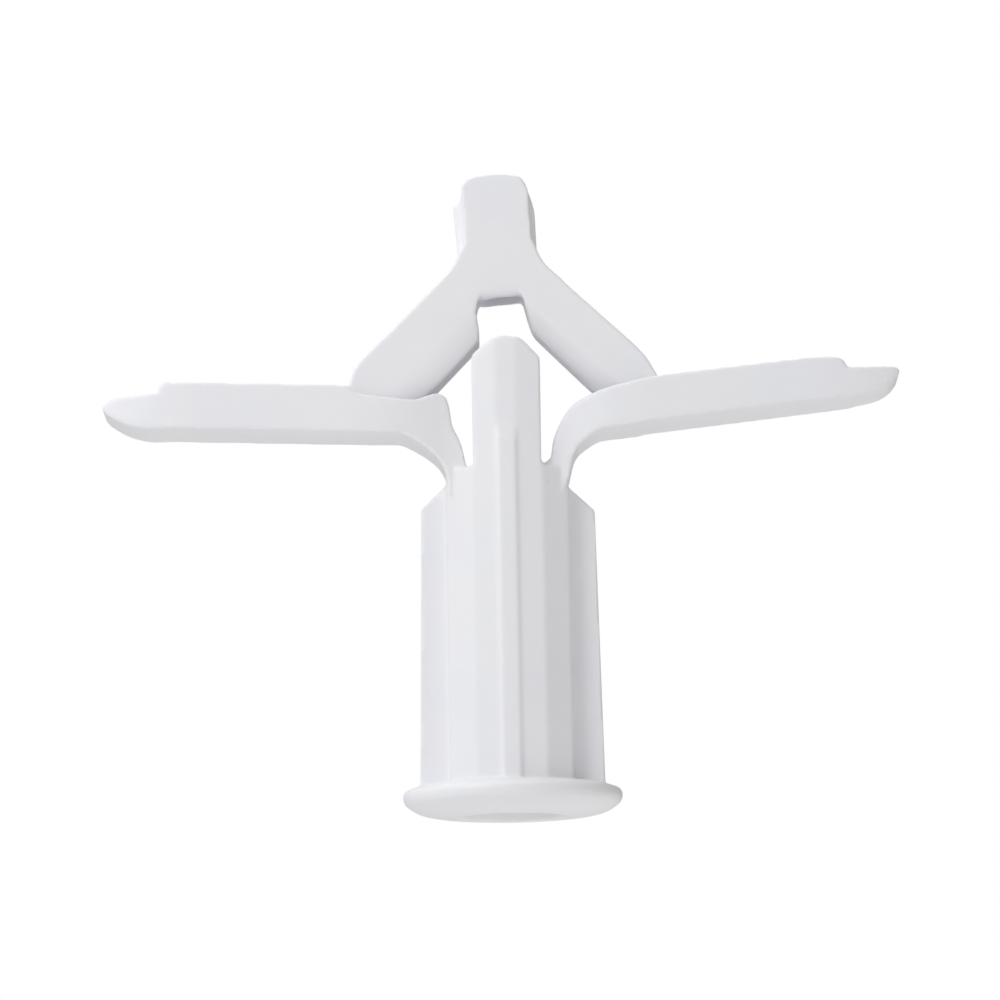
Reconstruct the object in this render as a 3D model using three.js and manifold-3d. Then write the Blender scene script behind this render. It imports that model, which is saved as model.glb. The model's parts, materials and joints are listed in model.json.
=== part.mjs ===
// Hollow-wall anchor: one polypropylene moulding whose rigid members are joined by living hinges.
// Millimetres. The origin is the centre of the collar's back face, which bears on the wall.
// +Z runs along the drilled hole into the cavity, towards the nose; the wings spread along X.
import * as THREE from 'three';
import { mergeVertices } from 'three/addons/utils/BufferGeometryUtils.js';
import Module from 'manifold-3d';

const wasm = await Module();
wasm.setup();

// ---- Driving dimensions ----

const HOLE_RADIUS = 4;             // the drilled hole that the folded anchor passes through
const SLIP = 0.05;                 // clearance between the folded wings and that hole

const COLLAR_RADIUS = 5;
const COLLAR_RIM = 0.5;            // thickness at the edge
const COLLAR_CROWN = 1.4;          // thickness at the mouth
const MOUTH_RADIUS = 1.9;          // where the screw enters
const MOUTH_LAND = 2.4;            // outer radius of the flat ring round the mouth
const BEARING_RING = 3.5;          // the back face bears on the wall outside this radius

const BARREL_HALF = 2.77;          // half the width across the barrel's flats
const BARREL_FLAT = 1.6;           // half the width of one flat
const BARREL_TOP = 14.5;
const BORE_RADIUS = 2.1;

const FIN_ROOT = 4.2;              // reach of a side fin from the axis, at the collar
const FIN_TIP = 3.95;              // the same where its shoulder starts
const FIN_SHOULDER = 12.45;
const FIN_TOP = 13.6;
const FIN_THICKNESS = 0.9;

const RIB_WIDTH = 0.82;
const RIB_HEIGHT = 0.35;           // how far a rib stands off the barrel
const RIB_FADE = 15.4;             // where a rib starts to sink into its tongue
const RIB_TOP = 17;

const TONGUE_HALF = 1.55;
const TONGUE_TOP = 20.4;
const TONGUE_ROUND = 0.85;         // corner radius at its top
const TONGUE_INSIDE = 1.75;        // nearest that a tongue comes to the plane of the links

const WING_ROOT_X = 2.9;           // bending centre of a strap, from the axis
const WING_ROOT_Z = 16.2;
const WING_TILT = { left: 2, right: 6.2 };   // degrees above square to the axis, as moulded
const WING_UNDER = -0.66;          // the web's outer face, below the bending centre
const WING_FLOOR = -0.26;          // the web's inner face
const WING_LOW_WALL = 1.25;        // wall height inboard, which clears the tongues when folded
const WING_HIGH_WALL = 1.92;       // wall height outboard
const WING_WALL_STEP = 4.2;
const WING_END = 12.65;
const WING_HALF = 2.55;            // half the depth over the walls
const CHANNEL_HALF = 1.75;         // half the depth between the walls
const WEB_START = 1.9;             // where the strap ends and the web begins

const TIP_HALF = 2.25;
const TIP_END = 15.3;
const TIP_TOP = [1.35, 1.1];       // height of its top edge, at the wing and at the end
const TIP_END_WALL = 0.55;

const STRAP_HALF = 1.6;

const LINK_LENGTH = 8.55;          // between bending centres
const LINK_HALF = 1.55;            // half the depth
const LINK_HEAD = 0.25;            // from the upper bending centre to the end of the solid link
const LINK_FOOT = 8.25;
const LINK_FOOT_U = 4.9;           // lower bending centre, along the wing and above it
const LINK_FOOT_N = 0.3;

const NOSE_LEAN = 3;               // degrees to the left, as moulded
const NOSE_SPACING = 3.1;          // between the two upper bending centres
const NOSE_HALF = 1.45;
const NOSE_CORE = 0.8;             // half the width between the link heads
const NOSE_DEPTH = 1.6;            // half the depth
const NOSE_CHAMFER = 0.5;
const NOSE_BOTTOM = -0.67;         // heights from the line through the upper bending centres
const NOSE_SHOULDER = 1.28;
const NOSE_TOP = 5.05;
const PILOT_RADIUS = 1.2;          // hole that the screw bites into
const NOSE_RIB = { low: 1.5, high: 3.8, reach: 0.3, half: 0.35 };

const ROUND_STEPS = 48;            // facets round a full circle
const DEG = Math.PI / 180;
const FAR = 60;                    // longer than anything it cuts

// ---- Solids ----

function solid(geometry) {
  const bare = geometry.index ? geometry.toNonIndexed() : geometry;
  bare.deleteAttribute('normal');
  bare.deleteAttribute('uv');
  const merged = mergeVertices(bare, 1e-5);
  return new wasm.Manifold(new wasm.Mesh({
    numProp: 3,
    vertProperties: new Float32Array(merged.attributes.position.array),
    triVerts: new Uint32Array(merged.index.array),
  }));
}

function geometryOf(shape) {
  const mesh = shape.getMesh();
  const geometry = new THREE.BufferGeometry();
  const corners = new Float32Array(mesh.vertProperties);
  geometry.setAttribute('position', new THREE.BufferAttribute(corners, 3));
  geometry.setIndex(new THREE.BufferAttribute(new Uint32Array(mesh.triVerts), 1));
  const faceted = geometry.toNonIndexed();
  faceted.computeVertexNormals();
  return faceted;
}

function shapeOf(outline) {
  if (outline instanceof THREE.Shape) return outline;
  return new THREE.Shape(outline.map(([a, b]) => new THREE.Vector2(a, b)));
}

function extrude(outline, depth) {
  const options = { depth, bevelEnabled: false, curveSegments: ROUND_STEPS / 4 };
  return new THREE.ExtrudeGeometry(shapeOf(outline), options);
}

// Outline in (x, z), extruded along Y between two depths.
function acrossDepth(outline, front, back) {
  return solid(extrude(outline, back - front).rotateX(Math.PI / 2).translate(0, back, 0));
}

// Outline in (x, z), extruded evenly about the XZ plane.
function slab(outline, half) {
  return acrossDepth(outline, -half, half);
}

// Outline in (x, y), extruded up from one height to another.
function upright(outline, low, high) {
  return solid(extrude(outline, high - low).translate(0, 0, low));
}

// Outline in (y, z), extruded along X between two places.
function alongLength(outline, start, end) {
  const bar = extrude(outline, end - start).rotateX(Math.PI / 2).rotateZ(Math.PI / 2);
  return solid(bar.translate(start, 0, 0));
}

function rod(radius, low, high) {
  const cylinder = new THREE.CylinderGeometry(radius, radius, high - low, ROUND_STEPS);
  return solid(cylinder.rotateX(Math.PI / 2).translate(0, 0, (low + high) / 2));
}

function box(x, y, z) {
  const cuboid = new THREE.BoxGeometry(x[1] - x[0], y[1] - y[0], z[1] - z[0]);
  return solid(cuboid.translate((x[0] + x[1]) / 2, (y[0] + y[1]) / 2, (z[0] + z[1]) / 2));
}

// Mirrors an outline for the left-hand side.
function sided(side, outline) {
  return outline.map(([x, z]) => [side * x, z]);
}

// ---- Where the hinges lie: every place is [x, z] in the part's own frame ----

const SIDES = [
  { name: 'left', side: -1, tilt: WING_TILT.left * DEG },
  { name: 'right', side: 1, tilt: WING_TILT.right * DEG },
];

function onWing({ side, tilt }, [u, n]) {
  return [
    side * (WING_ROOT_X + u * Math.cos(tilt) - n * Math.sin(tilt)),
    WING_ROOT_Z + u * Math.sin(tilt) + n * Math.cos(tilt),
  ];
}

function footOf(hand) {
  return onWing(hand, [LINK_FOOT_U, LINK_FOOT_N]);
}

// The nose hangs on two equal links, so its left bending centre is where two circles cross.
function noseCentres() {
  const lean = NOSE_LEAN * DEG;
  const across = [NOSE_SPACING * Math.cos(lean), NOSE_SPACING * Math.sin(lean)];
  const a = footOf(SIDES[0]);
  const right = footOf(SIDES[1]);
  const b = [right[0] - across[0], right[1] - across[1]];
  const half = [(b[0] - a[0]) / 2, (b[1] - a[1]) / 2];
  const base = Math.hypot(...half);
  const rise = Math.sqrt(LINK_LENGTH ** 2 - base ** 2) / base;
  const left = [a[0] + half[0] - half[1] * rise, a[1] + half[1] + half[0] * rise];
  return [left, [left[0] + across[0], left[1] + across[1]]];
}

const HEADS = noseCentres();
const NOSE_CENTRE = [(HEADS[0][0] + HEADS[1][0]) / 2, (HEADS[0][1] + HEADS[1][1]) / 2];

SIDES.forEach((hand, i) => {
  const foot = footOf(hand);
  hand.head = HEADS[i];
  hand.slope = Math.atan2(hand.head[1] - foot[1], hand.side * (foot[0] - hand.head[0]));
});

// A place on a link: s runs from its head to its foot, t from its spine towards the axis.
function onLink({ side, head, slope }, [s, t]) {
  return [
    head[0] + side * (s * Math.cos(slope) - t * Math.sin(slope)),
    head[1] - s * Math.sin(slope) - t * Math.cos(slope),
  ];
}

function onNose([x, z]) {
  const lean = NOSE_LEAN * DEG;
  return [
    NOSE_CENTRE[0] + x * Math.cos(lean) - z * Math.sin(lean),
    NOSE_CENTRE[1] + x * Math.sin(lean) + z * Math.cos(lean),
  ];
}

// ---- Sleeve ----

function collar() {
  const profile = new THREE.Path();
  profile.moveTo(MOUTH_RADIUS, -COLLAR_CROWN);
  profile.lineTo(MOUTH_LAND, -COLLAR_CROWN);
  profile.quadraticCurveTo(4.3, -1.25, COLLAR_RADIUS - 0.12, -COLLAR_RIM);
  profile.quadraticCurveTo(COLLAR_RADIUS, -0.42, COLLAR_RADIUS, -COLLAR_RIM / 2);
  profile.quadraticCurveTo(COLLAR_RADIUS, 0, COLLAR_RADIUS - 0.2, 0);
  profile.lineTo(BEARING_RING, 0);
  profile.lineTo(BORE_RADIUS, 0);
  profile.lineTo(MOUTH_RADIUS, -COLLAR_CROWN);
  const ring = new THREE.LatheGeometry(profile.getPoints(6), ROUND_STEPS);
  return solid(ring.rotateX(Math.PI / 2));
}

function octagon() {
  const [a, b] = [BARREL_FLAT, BARREL_HALF];
  return [[b, -a], [b, a], [a, b], [-a, b], [-b, a], [-b, -a], [-a, -b], [a, -b]];
}

function bore() {
  return rod(BORE_RADIUS, -FAR, FAR);
}

function barrel() {
  return upright(octagon(), 0, BARREL_TOP).subtract(bore());
}

function fin({ side }) {
  const outline = [[BARREL_HALF, 0], [FIN_ROOT, 0], [FIN_TIP, FIN_SHOULDER], [BARREL_HALF, FIN_TOP]];
  return slab(sided(side, outline), FIN_THICKNESS / 2);
}

// Ribs and tongues come in a front and a rear copy; face is -1 at the front.
function rib(face) {
  const profile = [[0, 0], [RIB_HEIGHT, 0], [RIB_HEIGHT, RIB_FADE], [0, RIB_TOP]];
  const outline = profile.map(([off, z]) => [face * (BARREL_HALF + off), z]);
  return alongLength(outline, -RIB_WIDTH / 2, RIB_WIDTH / 2);
}

function tongue(face) {
  const outline = new THREE.Shape();
  outline.moveTo(-TONGUE_HALF, BARREL_TOP);
  outline.lineTo(TONGUE_HALF, BARREL_TOP);
  outline.lineTo(TONGUE_HALF, TONGUE_TOP - TONGUE_ROUND);
  outline.quadraticCurveTo(TONGUE_HALF, TONGUE_TOP, TONGUE_HALF - TONGUE_ROUND, TONGUE_TOP);
  outline.lineTo(TONGUE_ROUND - TONGUE_HALF, TONGUE_TOP);
  outline.quadraticCurveTo(-TONGUE_HALF, TONGUE_TOP, -TONGUE_HALF, TONGUE_TOP - TONGUE_ROUND);
  const [front, back] = [face * TONGUE_INSIDE, face * BARREL_HALF].sort((p, q) => p - q);
  return acrossDepth(outline, front, back).subtract(bore());
}

// ---- Living hinges ----

// The strap bends out of the barrel's side wall and runs on as the wing's web.
function strap(hand) {
  const web = [onWing(hand, [WEB_START, WING_UNDER]), onWing(hand, [WEB_START, WING_FLOOR])];
  const outside = [
    [1.8, BARREL_TOP], [BARREL_HALF, BARREL_TOP], [BARREL_HALF, 13.66], [3.12, 14.4], [3.9, 15.08],
  ];
  const inside = [[3.15, 15.95], [2.5, 15.75], [2.08, 15.2]];
  const outline = [...sided(hand.side, outside), ...web, ...sided(hand.side, inside)];
  return slab(outline, STRAP_HALF).subtract(bore());
}

function neckWeb(hand) {
  const noseSide = [[NOSE_HALF, NOSE_SHOULDER], [NOSE_CORE, 0.75], [NOSE_CORE, -0.1]];
  const outline = [
    ...sided(hand.side, noseSide).map(onNose),
    onLink(hand, [LINK_HEAD, 0.45]),
    onLink(hand, [LINK_HEAD, -0.98]),
  ];
  return slab(outline, LINK_HALF);
}

function footWeb(hand) {
  const outline = [
    onWing(hand, [LINK_FOOT_U - 0.55, WING_FLOOR]),
    onWing(hand, [LINK_FOOT_U + 0.3, WING_FLOOR]),
    onWing(hand, [LINK_FOOT_U + 0.1, 0.35]),
    onLink(hand, [LINK_FOOT, -0.15]),
    onLink(hand, [LINK_FOOT, 0.45]),
  ];
  return slab(outline, LINK_HALF);
}

// ---- Wings: drawn along +u from the bending centre, then placed by their mesh ----

// The outer face follows the drilled hole, so that the folded wing fills it.
function holeRound() {
  const centre = WING_ROOT_X;
  return rod(HOLE_RADIUS - SLIP, -FAR, FAR).rotate([0, 90, 0]).translate([0, 0, centre]);
}

function channel() {
  const open = box([-FAR, FAR], [-CHANNEL_HALF, CHANNEL_HALF], [WING_FLOOR, FAR]);
  const root = box([-FAR, WEB_START], [-CHANNEL_HALF, CHANNEL_HALF], [-FAR, FAR]);
  return open.add(root);
}

function mirrored(hand, shape) {
  return hand.side < 0 ? shape.mirror([1, 0, 0]) : shape;
}

function wing(hand) {
  const outline = [
    [-0.42, -0.3], [0.6, WING_UNDER], [WING_END, WING_UNDER], [WING_END, WING_HIGH_WALL],
    [WING_WALL_STEP, WING_HIGH_WALL], [WING_WALL_STEP, WING_LOW_WALL],
    [0.5, WING_LOW_WALL], [-0.1, 1.1], [-0.35, 0.6],
  ];
  const full = slab(outline, WING_HALF).intersect(holeRound());
  return mirrored(hand, full.subtract(channel()));
}

function wingTip(hand) {
  const outline = [
    [WING_END, -0.52], [TIP_END - 1.6, -0.45], [TIP_END - 0.55, -0.05], [TIP_END, 0.62],
    [TIP_END - 0.12, TIP_TOP[1]], [WING_END, TIP_TOP[0]],
  ];
  const full = slab(outline, TIP_HALF).intersect(holeRound());
  const pocket = box([-FAR, TIP_END - TIP_END_WALL], [-CHANNEL_HALF, CHANNEL_HALF], [0.02, FAR]);
  return mirrored(hand, full.subtract(pocket));
}

// ---- Links: drawn along +s from the upper bending centre, with t downwards ----

function link(hand) {
  const outline = [
    [LINK_HEAD, -0.98], [5.8, -0.95], [6.3, -0.85], [6.9, -0.6], [7.6, -0.35], [LINK_FOOT, -0.15],
    [LINK_FOOT, 0.45], [7.6, 1], [7, 1.35], [6.2, 1.85], [5.35, 2.28],
    [1.5, 1.72], [1.1, 1.55], [0.85, 1.2], [0.35, 0.6], [LINK_HEAD, 0.45],
  ];
  const down = outline.map(([s, t]) => [s, -t]);
  const chamfered = [
    [-LINK_HALF, 2], [LINK_HALF, 2], [LINK_HALF, -1.2], [LINK_HALF - 0.55, -2.4],
    [0.55 - LINK_HALF, -2.4], [-LINK_HALF, -1.2],
  ];
  return mirrored(hand, slab(down, LINK_HALF).intersect(alongLength(chamfered, -1, LINK_LENGTH)));
}

// ---- Nose: drawn upright about the line through the upper bending centres ----

function nose() {
  const half = [
    [0.6, NOSE_BOTTOM], [NOSE_CORE, NOSE_BOTTOM + 0.2], [NOSE_CORE, 0.75], [NOSE_HALF, NOSE_SHOULDER],
    [NOSE_HALF - 0.05, 4.3], [1.3, 4.75], [1.1, NOSE_TOP],
  ];
  const outline = [...half, ...sided(-1, half).reverse()];
  const [w, d, c] = [NOSE_HALF, NOSE_DEPTH, NOSE_CHAMFER];
  const section = [
    [w, c - d], [w, d - c], [w - c, d], [c - w, d], [-w, d - c], [-w, c - d], [c - w, -d], [w - c, -d],
  ];
  const body = slab(outline, NOSE_DEPTH).intersect(upright(section, NOSE_BOTTOM - 1, NOSE_TOP + 1));
  return body.subtract(rod(PILOT_RADIUS, -FAR, FAR));
}

function noseRib({ side }) {
  const { low, high, reach, half } = NOSE_RIB;
  const outside = NOSE_HALF + reach;
  const outline = [[NOSE_HALF, low], [outside, low + 0.3], [outside, high], [NOSE_HALF, high]];
  return slab(sided(side, outline), half);
}

// ---- Assembly ----

const anchor = new THREE.Group();
anchor.name = 'wall_anchor';

function place(name, shape, [x, z] = [0, 0], turn = 0) {
  const plastic = new THREE.MeshStandardMaterial({ color: 0xe3e6ea, roughness: 0.42, metalness: 0 });
  const mesh = new THREE.Mesh(geometryOf(shape), plastic);
  mesh.name = name;
  mesh.position.set(x, 0, z);
  mesh.rotation.y = turn;
  anchor.add(mesh);
}

place('collar', collar());
place('barrel', barrel());
place('rib_front', rib(-1));
place('rib_rear', rib(1));
place('tongue_front', tongue(-1));
place('tongue_rear', tongue(1));
place('nose', nose(), NOSE_CENTRE, -NOSE_LEAN * DEG);

for (const hand of SIDES) {
  const root = [hand.side * WING_ROOT_X, WING_ROOT_Z];
  place(`fin_${hand.name}`, fin(hand));
  place(`hinge_strap_${hand.name}`, strap(hand));
  place(`wing_${hand.name}`, wing(hand), root, -hand.side * hand.tilt);
  place(`wing_tip_${hand.name}`, wingTip(hand), root, -hand.side * hand.tilt);
  place(`foot_web_${hand.name}`, footWeb(hand));
  place(`link_${hand.name}`, link(hand), hand.head, hand.side * hand.slope);
  place(`neck_web_${hand.name}`, neckWeb(hand));
  place(`nose_rib_${hand.name}`, noseRib(hand), NOSE_CENTRE, -NOSE_LEAN * DEG);
}

export default anchor;
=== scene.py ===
import json
import math

import bmesh
import bpy
import numpy as np
from mathutils import Matrix, Vector


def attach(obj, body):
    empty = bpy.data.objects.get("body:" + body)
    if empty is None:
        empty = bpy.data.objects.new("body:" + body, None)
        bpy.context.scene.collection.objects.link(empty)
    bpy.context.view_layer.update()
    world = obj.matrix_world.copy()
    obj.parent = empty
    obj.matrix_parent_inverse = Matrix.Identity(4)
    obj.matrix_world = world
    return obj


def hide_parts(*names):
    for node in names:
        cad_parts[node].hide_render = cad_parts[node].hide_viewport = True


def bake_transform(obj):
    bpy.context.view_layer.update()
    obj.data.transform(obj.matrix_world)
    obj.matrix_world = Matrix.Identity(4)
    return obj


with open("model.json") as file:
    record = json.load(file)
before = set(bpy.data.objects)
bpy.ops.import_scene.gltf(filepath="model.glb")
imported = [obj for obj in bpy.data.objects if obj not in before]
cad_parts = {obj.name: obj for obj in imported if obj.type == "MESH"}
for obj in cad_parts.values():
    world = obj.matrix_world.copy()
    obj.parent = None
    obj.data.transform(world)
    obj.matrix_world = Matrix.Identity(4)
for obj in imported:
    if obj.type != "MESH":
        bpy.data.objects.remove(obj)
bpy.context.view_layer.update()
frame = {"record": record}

# Every length below is in millimetres, and meshes are scaled to metres when they are finished.
MM = 0.001
VOXEL = 0.09            # spacing of the skin that joins the members into one moulding
SOFTEN = 5              # smoothing passes, which round the moulded edges to about 0.15 mm

# ---- Sleeve ----
# Its axis is Z, and the collar's back, which rests on the wall's face, is at Z 0.
COLLAR_RADIUS = 5.0
BARREL_HALF = 2.77
BARREL_FLAT = 1.6
CROWN_FLAT = 0.45       # half the width of the highest strip of the front and back faces
CROWN_EDGE = 2.5        # distance of those faces from the axis at their edges
BARREL_TOP = 14.3
BORE_RADIUS = 2.1
MOUTH_RADIUS = 1.9
FIN_HALF = 0.45
RIB_HALF = 0.41
RIB_REACH = 0.13
TONGUE_INSIDE = 1.75
ROOM_FOR_SCREW = 15.3   # the wings' roots are hollow up to this height
ROOT_OVERLAP = -0.2     # members start this far inside the collar, so that the skin joins them

# ---- Wings and links ----
WING_TILT = {"left": 2.0, "right": 6.2}     # degrees above square to the axis
WING_HALF = 2.55
WING_UNDER = -0.39
CHANNEL_HALF = 1.75     # half the width between a wing's walls
KNEE_RELIEF = 0.2       # dip in the channel's floor, where the link's knee lies when the wing is folded
FOOT_ON_WING = (4.9, 0.3)   # where the link's foot bends, in the wing's own frame
LINK_HALF = 1.55        # half the depth of links and nose
NOSE_LEAN = 3.0         # degrees to the left
PILOT_RADIUS = 1.2      # hole in the nose that the screw bites into
NOSE_RIB_HALF = 0.4
WEB_INSET = 0.05        # the foot webs are this much narrower than the links on each side

BEYOND = 40             # a length past the ends of every member, for cutting tools

JOINTS = {joint["name"]: joint for joint in frame["record"]["behaviour"]["joints"]}
SIDE = {"left": -1, "right": 1}


# ---- Outlines ----

def rounded(points, steps=4):
    """A closed outline whose corners (a, b, r) are eased over a length r on each side."""
    out = []
    count = len(points)
    for i, corner in enumerate(points):
        here = np.array(corner[:2], float)
        ease = corner[2] if len(corner) > 2 else 0
        if not ease:
            out.append(tuple(here))
            continue
        before = np.array(points[i - 1][:2], float) - here
        after = np.array(points[(i + 1) % count][:2], float) - here
        start = here + before * min(0.5, ease / np.linalg.norm(before))
        end = here + after * min(0.5, ease / np.linalg.norm(after))
        for k in range(steps + 1):
            t = k / steps
            out.append(tuple((1 - t) ** 2 * start + 2 * t * (1 - t) * here + t ** 2 * end))
    return out


def circle(radius, centre=(0, 0), count=64):
    turns = [2 * math.pi * i / count for i in range(count)]
    return [(centre[0] + radius * math.cos(a), centre[1] + radius * math.sin(a)) for a in turns]


def mirrored(points):
    """The outline of one half, with its mirror image in the first coordinate."""
    return list(points) + [(-p[0],) + tuple(p[1:]) for p in reversed(points)]


# ---- Solids ----

AXES = {"x": (1, 2, 0), "y": (0, 2, 1), "z": (0, 1, 2)}


def solid(vertices, faces):
    mesh = bpy.data.meshes.new("shape")
    mesh.from_pydata(vertices, [], faces)
    work = bmesh.new()
    work.from_mesh(mesh)
    bmesh.ops.recalc_face_normals(work, faces=work.faces)
    work.to_mesh(mesh)
    work.free()
    shape = bpy.data.objects.new("shape", mesh)
    bpy.context.scene.collection.objects.link(shape)
    return shape


def prism(outline, low, high, along="y"):
    """The outline, in the two other axes in their order, extruded along one axis."""
    a, b, c = AXES[along]
    count = len(outline)
    vertices = []
    for level in (low, high):
        for p in outline:
            place = [0.0, 0.0, 0.0]
            place[a], place[b], place[c] = p[0], p[1], level
            vertices.append(place)
    faces = [list(range(count)), list(range(count, 2 * count))]
    faces += [[i, (i + 1) % count, count + (i + 1) % count, count + i] for i in range(count)]
    return solid(vertices, faces)


def slab(outline, half):
    return prism(outline, -half, half)


def turned(profile, count=96):
    """A closed profile (radius, height) turned about the Z axis."""
    rows = len(profile)
    vertices = []
    for i in range(count):
        angle = 2 * math.pi * i / count
        vertices += [(r * math.cos(angle), r * math.sin(angle), z) for r, z in profile]
    faces = []
    for i in range(count):
        for j in range(rows):
            here, beyond = i * rows, (i + 1) % count * rows
            k = (j + 1) % rows
            faces.append([here + j, beyond + j, beyond + k, here + k])
    return solid(vertices, faces)


def settle(shape):
    """Applies the modifiers of a shape to its mesh."""
    graph = bpy.context.evaluated_depsgraph_get()
    mesh = bpy.data.meshes.new_from_object(shape.evaluated_get(graph))
    shape.modifiers.clear()
    shape.data = mesh
    return shape


def combine(body, tool, operation):
    step = body.modifiers.new("combine", "BOOLEAN")
    step.operation = operation
    step.solver = "EXACT"
    step.object = tool
    settle(body)
    bpy.data.objects.remove(tool)
    return body


def cut(body, *tools):
    for tool in tools:
        combine(body, tool, "DIFFERENCE")
    return body


def keep(body, *tools):
    for tool in tools:
        combine(body, tool, "INTERSECT")
    return body


def placed(shape, matrix):
    shape.data.transform(matrix)
    return shape


def moulding(parts, soften=SOFTEN):
    """Joins overlapping solids under one skin and softens its edges, as a moulded part has them."""
    work = bmesh.new()
    for part in parts:
        work.from_mesh(part.data)
        bpy.data.objects.remove(part)
    mesh = bpy.data.meshes.new("moulding")
    work.to_mesh(mesh)
    work.free()
    whole = bpy.data.objects.new("moulding", mesh)
    bpy.context.scene.collection.objects.link(whole)
    skin = whole.modifiers.new("skin", "REMESH")
    skin.mode = "VOXEL"
    skin.voxel_size = VOXEL
    soft = whole.modifiers.new("soften", "SMOOTH")
    soft.factor = 0.5
    soft.iterations = soften
    return settle(whole)


def sliced(whole, planes):
    """Adds an edge loop where each plane (point, normal) crosses the moulding.

    Each point keeps the direction its skin faced before, so that the pieces shade as one surface.
    """
    work = bmesh.new()
    work.from_mesh(whole.data)
    facing = work.verts.layers.float_vector.new("facing")
    for vertex in work.verts:
        vertex[facing] = vertex.normal
    for point, normal in planes:
        everything = work.verts[:] + work.edges[:] + work.faces[:]
        bmesh.ops.bisect_plane(work, geom=everything, plane_co=point, plane_no=normal, dist=1e-5)
    work.to_mesh(whole.data)
    work.free()


def piece(name, whole, belongs):
    """Copies the faces whose centres pass the test into a closed piece of their own, in metres."""
    work = bmesh.new()
    work.from_mesh(whole.data)
    others = [face for face in work.faces if not belongs(face.calc_center_median())]
    bmesh.ops.delete(work, geom=others, context="FACES")
    for face in work.faces:
        face.smooth = True
    rim = [edge for edge in work.edges if edge.is_boundary]
    caps = bmesh.ops.holes_fill(work, edges=rim, sides=0)["faces"] if rim else []
    for face in caps:
        face.smooth = False
    bmesh.ops.triangulate(work, faces=caps)
    bmesh.ops.recalc_face_normals(work, faces=work.faces)
    facing = work.verts.layers.float_vector.get("facing")
    directions = [vertex[facing].normalized() for vertex in work.verts] if facing else None
    mesh = bpy.data.meshes.new(name)
    work.to_mesh(mesh)
    work.free()
    mesh.transform(Matrix.Scale(MM, 4))
    if directions:
        mesh.attributes.remove(mesh.attributes["facing"])
        mesh.normals_split_custom_set_from_vertices(directions)
    made = bpy.data.objects.new(name, mesh)
    bpy.context.scene.collection.objects.link(made)
    return made


# ---- Where things are: places in the XZ plane, from the part's own joints ----

def joint_place(name):
    x, _, z = JOINTS[name]["pos_m"]
    return np.array((x, z)) / MM


def local_frame(origin, along, up):
    """The matrix that takes local X to `along` and local Z to `up`, both given in the XZ plane."""
    x = Vector((along[0], 0, along[1]))
    z = Vector((up[0], 0, up[1]))
    y = z.cross(x)
    turn = Matrix((x, y, z)).transposed().to_4x4()
    return Matrix.Translation((origin[0], 0, origin[1])) @ turn


def wing_axes(hand):
    tilt = math.radians(WING_TILT[hand])
    side = SIDE[hand]
    return (side * math.cos(tilt), math.sin(tilt)), (-side * math.sin(tilt), math.cos(tilt))


def on_wing(hand, u, n):
    along, up = wing_axes(hand)
    root = WING_ROOT[hand]
    return np.array((root[0] + u * along[0] + n * up[0], root[1] + u * along[1] + n * up[1]))


def link_axes(hand):
    run = FOOT[hand] - HEAD[hand]
    run = run / np.linalg.norm(run)
    return (run[0], run[1]), (-SIDE[hand] * run[1], SIDE[hand] * run[0])


def on_link(hand, s, t):
    along, up = link_axes(hand)
    return HEAD[hand] + s * np.array(along) - t * np.array(up)


WING_ROOT = {"left": joint_place("wings_fold"), "right": joint_place("right_wing_fold")}
HEAD = {"left": joint_place("left_neck_hinge"), "right": joint_place("right_neck_hinge")}
FOOT = {hand: on_wing(hand, *FOOT_ON_WING) for hand in SIDE}
NOSE_CENTRE = (HEAD["left"] + HEAD["right"]) / 2


# ---- Sleeve ----

def collar():
    """A domed flange, (radius, height), whose mouth is countersunk for the screw's head."""
    return turned(rounded([
        (MOUTH_RADIUS, -0.75), (2.3, -1.5, 0.08), (2.5, -1.5, 0.15), (4.2, -1.36, 1.2), (4.9, -0.86, 0.15),
        (COLLAR_RADIUS, -0.55, 0.15), (4.92, -0.28, 0.12), (4.1, 0.0, 0.6),
        (BORE_RADIUS, 0.0), (BORE_RADIUS, -0.4),
    ]))


def barrel_section():
    """The eight long facets, with the front and back crowned in three strips."""
    quarter = [(BARREL_HALF, BARREL_FLAT), (BARREL_FLAT, CROWN_EDGE), (CROWN_FLAT, BARREL_HALF)]
    half = quarter + [(-x, y) for x, y in reversed(quarter)]
    return half + [(-x, -y) for x, y in half]


def barrel():
    tube = prism(barrel_section(), ROOT_OVERLAP, BARREL_TOP, "z")
    return cut(tube, prism(circle(BORE_RADIUS), -BEYOND, BEYOND, "z"))


FIN_OUTLINE = {
    "left": [
        (-2.4, ROOT_OVERLAP), (-4.18, ROOT_OVERLAP), (-3.92, 12.58), (-2.74, 13.7), (-2.4, 13.7),
    ],
    "right": [(2.4, ROOT_OVERLAP), (4.2, ROOT_OVERLAP), (3.95, 12.4), (2.74, 13.52), (2.4, 13.52)],
}


def fin(hand):
    return slab(FIN_OUTLINE[hand], FIN_HALF)


def rib(face):
    """The narrow rib up one face (-1 front, 1 rear), which fades out on the tongue."""
    outside = BARREL_HALF + RIB_REACH
    profile = [(2.4, ROOT_OVERLAP), (outside, ROOT_OVERLAP), (outside, 15.4), (2.6, 17.4), (2.4, 17.4)]
    return prism([(face * y, z) for y, z in profile], -RIB_HALF, RIB_HALF, "x")


TONGUE_OUTLINE = [
    (-1.52, 14.0), (1.56, 14.0), (1.58, 19.2, 0.12), (0.72, 20.08, 0.2), (-0.16, 20.2, 0.3),
    (-0.8, 19.98, 0.3), (-1.53, 19.3, 0.15),
]


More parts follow.
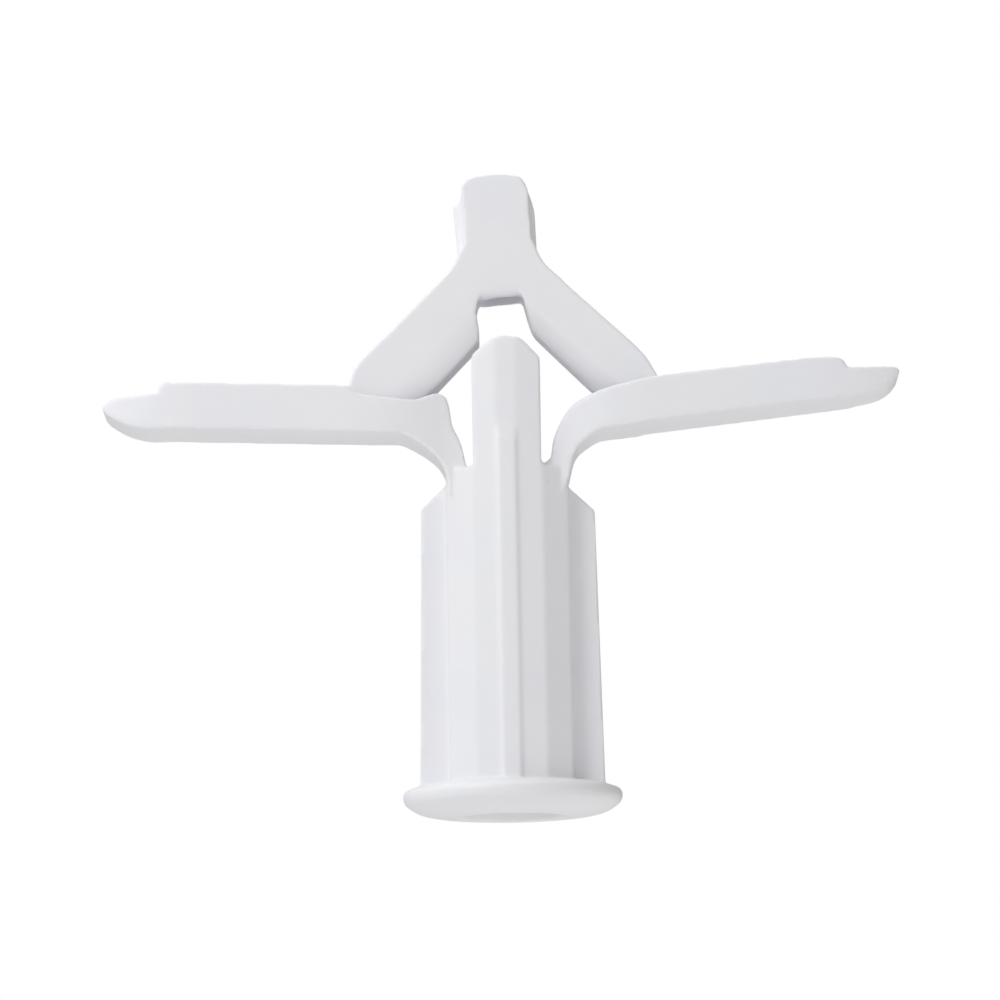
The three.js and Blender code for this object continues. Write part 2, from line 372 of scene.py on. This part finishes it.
def tongue(face):
    """A round-topped guide on the barrel's front (-1) or rear (1), as thick as the barrel's wall."""
    low, high = sorted((face * TONGUE_INSIDE, face * BARREL_HALF))
    blade = keep(prism(rounded(TONGUE_OUTLINE), low, high), prism(barrel_section(), 0, BEYOND, "z"))
    return cut(blade, prism(circle(BORE_RADIUS), -BEYOND, BEYOND, "z"))


# ---- Wings, drawn in their own frame: u along the wing, n up from the bending centre ----

ROOT_OUTLINE = {
    "left": [
        (-0.4, -3.2), (-0.3, -2.35, 0.3), (0.08, -1.5, 0.5), (0.95, -0.85, 0.6), (1.88, -0.38, 0.3),
        (3.2, -0.38), (3.2, 1.25), (1.24, 1.1, 0.4), (0.6, 1.4, 0.3), (0.2, 1.5, 0.25), (-0.17, 1.34, 0.2),
        (-0.35, 0.7, 0.4), (-0.43, 0.01, 0.3), (-0.87, -0.7, 0.5), (-1.13, -1.85, 0.2), (-1.13, -3.2),
    ],
    "right": [
        (-0.75, -3.2), (-0.41, -2.55, 0.3), (0.06, -1.2, 0.5), (0.62, -0.8, 0.3), (1.31, -0.46, 0.3),
        (3.2, -0.45), (3.2, 1.5), (2.31, 1.46, 0.5), (1.2, 1.25, 0.5), (0.18, 0.84, 0.4), (-0.28, 0.33, 0.3),
        (-0.7, -0.3, 0.4), (-0.92, -0.8, 0.3), (-1.05, -1.45, 0.2), (-1.5, -1.65, 0.1), (-1.5, -3.2),
    ],
}
WALL_OUTLINE = {
    "left": [
        (1.6, WING_UNDER), (13.2, WING_UNDER), (12.95, 0.2), (12.86, 1.3, 0.15), (12.84, 1.6, 0.12),
        (12.66, 1.73, 0.1), (4.24, 1.72, 0.2), (3.9, 1.36, 0.3), (3.3, 1.27, 0.5), (1.6, 1.14),
    ],
    "right": [
        (1.6, WING_UNDER), (12.9, WING_UNDER), (12.72, 0.2), (12.72, 1.05, 0.2), (12.62, 1.32, 0.25),
        (12.1, 1.49, 0.4), (11.0, 1.56, 0.5), (4.4, 1.62, 0.6), (3.2, 1.56, 0.5), (1.6, 1.24),
    ],
}
TIP_OUTLINE = {
    "left": [
        (12.2, WING_UNDER), (13.3, -0.46, 0.3), (14.3, -0.27, 0.4), (15.24, 0.24, 0.3), (15.47, 0.58, 0.15),
        (15.03, 1.0, 0.15), (12.2, 1.3),
    ],
    "right": [
        (12.2, -0.4), (14.0, -0.28, 0.3), (14.6, -0.08, 0.3), (14.96, 0.22, 0.3), (15.17, 0.5, 0.2),
        (14.98, 0.7, 0.2), (14.4, 0.77, 0.3), (12.2, 0.95),
    ],
}
# Half depths along the wing, (u, y): it widens from the barrel's side and narrows again at its tip.
WING_PLAN = [
    (-3.2, 1.6), (-1.9, 1.68, 0.6), (-0.3, 1.9, 0.6), (0.7, 2.2, 0.6), (1.8, 2.45, 0.6),
    (3.2, WING_HALF, 0.8), (11.8, WING_HALF, 0.8), (13.4, 2.45, 0.7), (14.8, 2.2, 0.4), (15.7, 1.8),
]


def spread(plan):
    """A plan of half depths (u, y), closed on the other side of the wing's middle plane."""
    return list(plan) + [(u, -y, *ease) for u, y, *ease in reversed(plan)]


def planned(shape):
    """Narrows a wing's member to the wing's plan."""
    return keep(shape, prism(rounded(spread(WING_PLAN)), -BEYOND, BEYOND, "z"))


def channel():
    """The hollow between the wing's walls, open on the side that the link folds into."""
    profile = [
        (-0.9, 0.0, 0.2), (5.6, 0.0, 0.4), (6.6, -KNEE_RELIEF, 0.4), (8.2, -KNEE_RELIEF, 0.4),
        (9.4, 0.0, 0.4), (12.5, 0.0, 0.3), (12.7, 0.14, 0.2), (14.75, 0.14, 0.3), (14.75, 9), (-0.9, 9),
    ]
    plan = [(-1.2, 0.9), (-0.75, 1.0, 0.3), (-0.1, CHANNEL_HALF, 0.3), (16, CHANNEL_HALF)]
    return keep(slab(rounded(profile), 4), prism(rounded(spread(plan)), -BEYOND, BEYOND, "z"))


def wing(hand):
    along, up = wing_axes(hand)
    here = local_frame(WING_ROOT[hand], along, up)
    outlines = (ROOT_OUTLINE[hand], WALL_OUTLINE[hand], TIP_OUTLINE[hand])
    parts = [cut(planned(slab(rounded(outline), 4)), channel()) for outline in outlines]
    return [placed(part, here) for part in parts]


def bored(parts):
    """Keeps the wings' roots clear of the screw."""
    return [cut(part, prism(circle(BORE_RADIUS), -BEYOND, ROOM_FOR_SCREW, "z")) for part in parts]


# ---- Links, drawn in their own frame: s from head to foot, t from the spine towards the axis ----

LINK_OUTLINE = {
    "left": [
        (-0.6, -1.04), (5.8, -1.02, 0.3), (6.35, -0.98, 0.3), (6.93, -0.66, 0.3), (7.6, -0.35, 0.3),
        (8.25, -0.15, 0.1), (8.25, 0.45, 0.1), (7.6, 0.95, 0.3), (7.0, 1.32, 0.3), (6.2, 1.82, 0.3),
        (5.3, 2.3, 0.3), (2.0, 2.2, 0.3),
        (1.42, 2.2, 0.1), (1.02, 1.78, 0.1), (0.55, 1.1, 0.2), (0.0, 0.75, 0.2), (-0.6, 0.7),
    ],
    "right": [
        (-0.6, -0.86), (5.4, -0.82, 0.3), (6.12, -0.74, 0.3), (6.88, -0.48, 0.3), (7.6, -0.3, 0.3),
        (8.25, -0.15, 0.1), (8.25, 0.45, 0.1), (7.6, 0.9, 0.3), (7.0, 1.22, 0.3), (6.2, 1.65, 0.3),
        (5.3, 1.95, 0.3), (1.43, 1.76, 0.3),
        (0.78, 1.38, 0.3), (0.34, 1.08, 0.3), (0.0, 0.85, 0.2), (-0.6, 0.7),
    ],
}
# Half of a link's section, (y, -t): its inner edge is rounded over, more so on the right link.
LINK_SECTION = {
    "left": [(LINK_HALF, 3), (LINK_HALF, -1.3, 0.3), (1.42, -1.95, 0.3), (1.2, -2.4, 0.3)],
    "right": [(LINK_HALF, 3), (LINK_HALF, -0.95, 0.2), (1.15, -1.6, 0.3), (0.7, -1.95, 0.3)],
}


def link(hand):
    along, up = link_axes(hand)
    here = local_frame(HEAD[hand], along, up)
    body = slab(rounded([(s, -t, *r) for s, t, *r in LINK_OUTLINE[hand]]), LINK_HALF)
    section = rounded(mirrored(LINK_SECTION[hand]))
    return placed(keep(body, prism(section, -3, 12, "x")), here)


def foot_web(hand):
    """The thin web between a link's foot and the floor of its wing."""
    corners = [
        on_wing(hand, 4.35, -0.1), on_wing(hand, 5.2, -0.1), on_wing(hand, 5.0, 0.4),
        on_link(hand, 7.9, -0.2), on_link(hand, 7.9, 0.6),
    ]
    return slab([tuple(p) for p in corners], LINK_HALF - WEB_INSET)


# ---- Nose, drawn upright about the middle of the two upper bending centres ----

NOSE_OUTLINE = [
    (0.9, 0.3), (1.5, 1.0), (1.55, 4.25, 0.4), (1.24, 4.87, 0.25), (0.26, 5.05, 0.6), (-1.0, 5.0, 0.3),
    (-1.5, 4.68, 0.2), (-1.5, 1.0), (-0.9, 0.3),
]
# The lower half of the nose spreads into the two necks.
MIDDLE_OUTLINE = [
    (-0.95, -0.66, 0.08), (0.84, -0.59, 0.15), (1.3, 0.5), (1.3, 2.6), (-1.3, 2.6), (-1.3, 0.5),
]
# Half of its section, (y, z): its lower edges are eased.
MIDDLE_SECTION = [(LINK_HALF, 4), (LINK_HALF, -0.4, 0.2), (1.3, -0.65, 0.2), (1.3, -1.0)]
NECK_OUTLINE = {
    "left": [
        (-1.0, 2.6), (-1.6, 1.9, 0.3), (-1.95, 1.23, 0.3), (-2.25, 0.8, 0.3), (-2.9, 0.2), (-2.2, -0.5),
        (-1.3, -0.6), (-0.86, -0.1), (-0.5, 1.0),
    ],
    "right": [
        (1.0, 2.6), (1.6, 1.9, 0.3), (1.82, 1.17, 0.3), (2.12, 0.66, 0.3), (2.8, 0.0), (2.2, -0.6),
        (1.2, -0.7), (0.8, -0.1), (0.5, 1.0),
    ],
}
NOSE_RIB = {
    "left": [(-1.2, 1.3), (-1.86, 1.5), (-1.92, 3.84, 0.08), (-1.53, 4.2, 0.05), (-1.2, 4.2)],
    "right": [(1.2, 1.3), (1.74, 1.5), (1.77, 3.45, 0.3), (1.55, 4.3), (1.2, 4.4)],
}


def pilot_hole():
    return prism(circle(PILOT_RADIUS), -BEYOND, BEYOND, "z")


def nose():
    lean = math.radians(NOSE_LEAN)
    along, up = (math.cos(lean), math.sin(lean)), (-math.sin(lean), math.cos(lean))
    here = local_frame(NOSE_CENTRE, along, up)
    body = slab(rounded(NOSE_OUTLINE), LINK_HALF)
    section = rounded(mirrored(MIDDLE_SECTION))
    middle = keep(slab(rounded(MIDDLE_OUTLINE), LINK_HALF), prism(section, -BEYOND, BEYOND, "x"))
    necks = [slab(rounded(NECK_OUTLINE[hand]), LINK_HALF) for hand in SIDE]
    ribs = [slab(rounded(NOSE_RIB[hand]), NOSE_RIB_HALF) for hand in SIDE]
    parts = [cut(part, pilot_hole()) for part in [body, middle, *necks, *ribs]]
    return [placed(part, here) for part in parts]


# ---- Material ----

def nodes_of(tree):
    def add(kind, **values):
        node = tree.nodes.new(kind)
        for key, value in values.items():
            setattr(node, key, value)
        return node
    return add


def noise(tree, source, scale, detail, seed):
    add = nodes_of(tree)
    shift = add("ShaderNodeMapping")
    shift.inputs["Location"].default_value = (seed * 1.7, seed * 0.6, seed * 2.3)
    texture = add("ShaderNodeTexNoise")
    texture.inputs["Scale"].default_value = scale
    texture.inputs["Detail"].default_value = detail
    tree.links.new(source, shift.inputs["Vector"])
    tree.links.new(shift.outputs["Vector"], texture.inputs["Vector"])
    return texture.outputs["Fac"]


def ramp(tree, source, stops):
    node = nodes_of(tree)("ShaderNodeValToRGB")
    ramp_stops = node.color_ramp.elements
    while len(ramp_stops) < len(stops):
        ramp_stops.new(0.5)
    for element, (position, colour) in zip(ramp_stops, stops):
        element.position = position
        element.color = (*colour, 1)
    tree.links.new(source, node.inputs["Fac"])
    return node.outputs["Color"]


# Sockets of the Mix node when it mixes colours.
MIX_FACTOR, MIX_A, MIX_B, MIX_RESULT = 0, 6, 7, 2


def mixed(tree, a, b, fac):
    node = nodes_of(tree)("ShaderNodeMix", data_type="RGBA")
    for socket, value in ((MIX_FACTOR, fac), (MIX_A, a), (MIX_B, b)):
        if isinstance(value, bpy.types.NodeSocket):
            tree.links.new(value, node.inputs[socket])
        else:
            node.inputs[socket].default_value = value
    return node.outputs[MIX_RESULT]


def polypropylene():
    """Natural polypropylene: milky and faintly blue, with a fine tool texture and a few specks."""
    material = bpy.data.materials.new("natural_polypropylene")
    material.use_nodes = True
    tree = material.node_tree
    add = nodes_of(tree)
    shader = tree.nodes["Principled BSDF"]
    rest = add("ShaderNodeAttribute", attribute_name="rest_place")
    place = rest.outputs["Vector"]
    clouds = noise(tree, place, 0.22, 3, 1)
    tint = ramp(tree, clouds, [(0.3, (0.905, 0.912, 0.955)), (0.7, (0.935, 0.93, 0.945))])
    flow = noise(tree, place, 0.9, 2, 4)
    streaks = ramp(tree, flow, [(0.35, (0, 0, 0)), (0.75, (0.6, 0.6, 0.6))])
    tint = mixed(tree, tint, (0.925, 0.935, 0.955, 1), streaks)
    specks = add("ShaderNodeTexVoronoi", feature="F1")
    specks.inputs["Scale"].default_value = 0.17
    tree.links.new(place, specks.inputs["Vector"])
    fleck = ramp(tree, specks.outputs["Distance"], [(0.012, (0.7, 0.7, 0.7)), (0.022, (0, 0, 0))])
    tint = mixed(tree, tint, (0.62, 0.56, 0.44, 1), fleck)
    tree.links.new(tint, shader.inputs["Base Color"])
    wear = noise(tree, place, 2.4, 4, 2)
    gloss = ramp(tree, wear, [(0.3, (0.3, 0.3, 0.3)), (0.7, (0.42, 0.42, 0.42))])
    tree.links.new(gloss, shader.inputs["Roughness"])
    shader.inputs["IOR"].default_value = 1.49
    grain = noise(tree, place, 7.0, 3, 3)
    waves = noise(tree, place, 0.8, 1, 5)
    height = mixed(tree, grain, waves, 0.75)
    bump = add("ShaderNodeBump")
    bump.inputs["Strength"].default_value = 0.18
    bump.inputs["Distance"].default_value = 0.0001
    tree.links.new(height, bump.inputs["Height"])
    tree.links.new(bump.outputs["Normal"], shader.inputs["Normal"])
    return material


PLASTIC = polypropylene()


def finished(made, replaces):
    """Gives a piece its plastic, and keeps each point's place at rest, in millimetres, for the texture."""
    count = len(made.data.vertices)
    places = np.empty(count * 3)
    made.data.vertices.foreach_get("co", places)
    rest = made.data.attributes.new("rest_place", "FLOAT_VECTOR", "POINT")
    rest.data.foreach_set("vector", places / MM)
    made.data.materials.clear()
    made.data.materials.append(PLASTIC)
    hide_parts(*replaces)
    return made


# ---- The members under their skins, cut apart where each one starts to bend ----

def metres(x, z):
    return (x * MM, 0, z * MM)


# A plane across each wing's root and each neck: a point, and the direction in which it bends away.
ROOT_CUT = {"left": ((-2.8, 13.85), (-0.6, 0.8)), "right": ((2.82, 13.85), (0.6, 0.8))}
NECK_CUT = {"left": ((-1.5, 23.1), (-0.894, -0.447)), "right": ((1.1, 23.2), (0.94, -0.342))}
SLOT_X = 1.65           # the slots between the tongues and the wings' roots start this far from the axis
FOOT_SOFTEN = 3


def beyond(cut_plane, centre):
    (x, z), (a, b) = cut_plane
    return (centre.x - x) * a + (centre.z - z) * b > 0


def in_wing(hand, centre):
    return SIDE[hand] * centre.x > SLOT_X and beyond(ROOT_CUT[hand], centre)


def planes(cuts):
    return [((x, 0, z), (a, 0, b)) for (x, z), (a, b) in cuts.values()]


def bend(made):
    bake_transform(made)


def sleeve_and_wings():
    """The sleeve and both wings under one skin, cut where each strap starts to bend."""
    parts = [collar(), barrel(), rib(-1), rib(1), tongue(-1), tongue(1), fin("left"), fin("right")]
    for hand in SIDE:
        parts += bored(wing(hand))
    whole = moulding(parts)
    sliced(whole, planes(ROOT_CUT))
    sleeve = piece("sleeve_moulding", whole, lambda c: not any(in_wing(hand, c) for hand in SIDE))
    finished(sleeve, [
        "collar", "barrel", "rib_front", "rib_rear", "tongue_front", "tongue_rear", "fin_left", "fin_right",
    ])
    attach(sleeve, "sleeve")
    for hand in SIDE:
        made = piece(f"wing_moulding_{hand}", whole, lambda c: in_wing(hand, c))
        finished(made, [f"hinge_strap_{hand}", f"wing_{hand}", f"wing_tip_{hand}"])
        bend(made)
    bpy.data.objects.remove(whole)


def nose_and_links():
    """The nose and both links under one skin, cut where each neck starts to bend."""
    whole = moulding([*nose(), link("left"), link("right")])
    sliced(whole, planes(NECK_CUT))
    head = piece("nose_moulding", whole, lambda c: not any(beyond(NECK_CUT[hand], c) for hand in SIDE))
    finished(head, ["nose", "nose_rib_left", "nose_rib_right"])
    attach(head, "nose_block")
    for hand in SIDE:
        made = piece(f"link_moulding_{hand}", whole, lambda c: beyond(NECK_CUT[hand], c))
        finished(made, [f"link_{hand}", f"neck_web_{hand}"])
        bend(made)
    bpy.data.objects.remove(whole)


def feet():
    """The left foot is baked in place between wing and link, attached to neither; the right one stays on its
    wing, at the opened pivot.
    """
    for hand in SIDE:
        whole = moulding([foot_web(hand)], FOOT_SOFTEN)
        made = piece(f"foot_moulding_{hand}", whole, lambda c: True)
        finished(made, [f"foot_web_{hand}"])
        if hand == "left":
            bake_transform(made)
        else:
            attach(made, "right_wing")
        bpy.data.objects.remove(whole)


sleeve_and_wings()
nose_and_links()
feet()


# ---- Studio ----

def stage_material(name, colour):
    material = bpy.data.materials.new(name)
    material.use_nodes = True
    shader = material.node_tree.nodes["Principled BSDF"]
    shader.inputs["Base Color"].default_value = (*colour, 1)
    shader.inputs["Roughness"].default_value = 0.9
    return material


FLOOR_LEVEL = -0.07
FLOOR_REACH = 1.2


def floor():
    level, reach = FLOOR_LEVEL, FLOOR_REACH
    mesh = bpy.data.meshes.new("floor")
    corners = [(-reach, -reach, level), (reach, -reach, level), (reach, reach, level), (-reach, reach, level)]
    mesh.from_pydata(corners, [], [(0, 1, 2, 3)])
    mesh.materials.append(stage_material("pale_floor", (0.9, 0.9, 0.9)))
    sheet = bpy.data.objects.new("floor", mesh)
    bpy.context.scene.collection.objects.link(sheet)


LIT_POINT = (0, 0, 0.013)


def softbox(name, place, size, power):
    light = bpy.data.lights.new(name, "AREA")
    light.shape = "RECTANGLE"
    light.size, light.size_y = size
    light.energy = power
    lamp = bpy.data.objects.new(name, light)
    bpy.context.scene.collection.objects.link(lamp)
    lamp.location = place
    lamp.rotation_euler = (Vector(LIT_POINT) - Vector(place)).to_track_quat("-Z", "Y").to_euler()


# Brightness of the surround, from its right rear (0) to its left front (1).
LEFT_FRONT = (-0.92, -0.38, -0.02)
DAYLIGHT = [
    (0.1, (0.27, 0.25, 0.235)),
    (0.5, (0.475, 0.475, 0.48)),
    (0.9, (0.76, 0.765, 0.77)),
]


def daylight():
    """A surround that is white where the camera sees it, and lights the part from the left front."""
    world = bpy.data.worlds.new("studio")
    bpy.context.scene.world = world
    world.use_nodes = True
    tree = world.node_tree
    add = nodes_of(tree)
    tree.nodes.clear()
    path = add("ShaderNodeLightPath")
    shown = add("ShaderNodeBackground")
    shown.inputs["Color"].default_value = (1, 1, 1, 1)
    direction = add("ShaderNodeTexCoord")
    aim = add("ShaderNodeVectorMath", operation="DOT_PRODUCT")
    aim.inputs[1].default_value = LEFT_FRONT
    tree.links.new(direction.outputs["Generated"], aim.inputs[0])
    shift = add("ShaderNodeMapRange")
    shift.inputs["From Min"].default_value = -1
    tree.links.new(aim.outputs["Value"], shift.inputs["Value"])
    fill = add("ShaderNodeBackground")
    shades = ramp(tree, shift.outputs["Result"], DAYLIGHT)
    tree.links.new(shades, fill.inputs["Color"])
    choice = add("ShaderNodeMixShader")
    out = add("ShaderNodeOutputWorld")
    tree.links.new(path.outputs["Is Camera Ray"], choice.inputs[0])
    tree.links.new(fill.outputs[0], choice.inputs[1])
    tree.links.new(shown.outputs[0], choice.inputs[2])
    tree.links.new(choice.outputs[0], out.inputs["Surface"])


VIEW_ELEVATION = -7.0       # degrees: the camera looks a little up at the collar's outer face
VIEW_ROLL = 1.05            # degrees
VIEW_WIDTH = 45.45          # millimetres across the picture
VIEW_TARGET = (-0.34, 13.0)
VIEW_DISTANCE = 0.42        # metres
SENSOR = 36


def camera():
    data = bpy.data.cameras.new("camera")
    data.sensor_width = SENSOR
    data.lens = SENSOR * VIEW_DISTANCE / (VIEW_WIDTH * MM)
    data.clip_start = 0.01
    lift = math.radians(VIEW_ELEVATION)
    eye = bpy.data.objects.new("camera", data)
    bpy.context.scene.collection.objects.link(eye)
    target = Vector(metres(*VIEW_TARGET))
    eye.location = target + Vector((0, -math.cos(lift), math.sin(lift))) * VIEW_DISTANCE
    upright = (target - eye.location).to_track_quat("-Z", "Y").to_matrix()
    eye.rotation_euler = (upright @ Matrix.Rotation(-math.radians(VIEW_ROLL), 3, "Z")).to_euler()
    bpy.context.scene.camera = eye


camera()
floor()
daylight()
softbox("key", (-0.075, -0.095, 0.075), (0.07, 0.07), 0.046)
softbox("top", (-0.1, 0.1, 0.5), (0.5, 0.5), 1.2)
softbox("low_fill", (0.12, -0.045, -0.05), (0.09, 0.05), 0.013)
bpy.context.scene.view_settings.view_transform = "Standard"
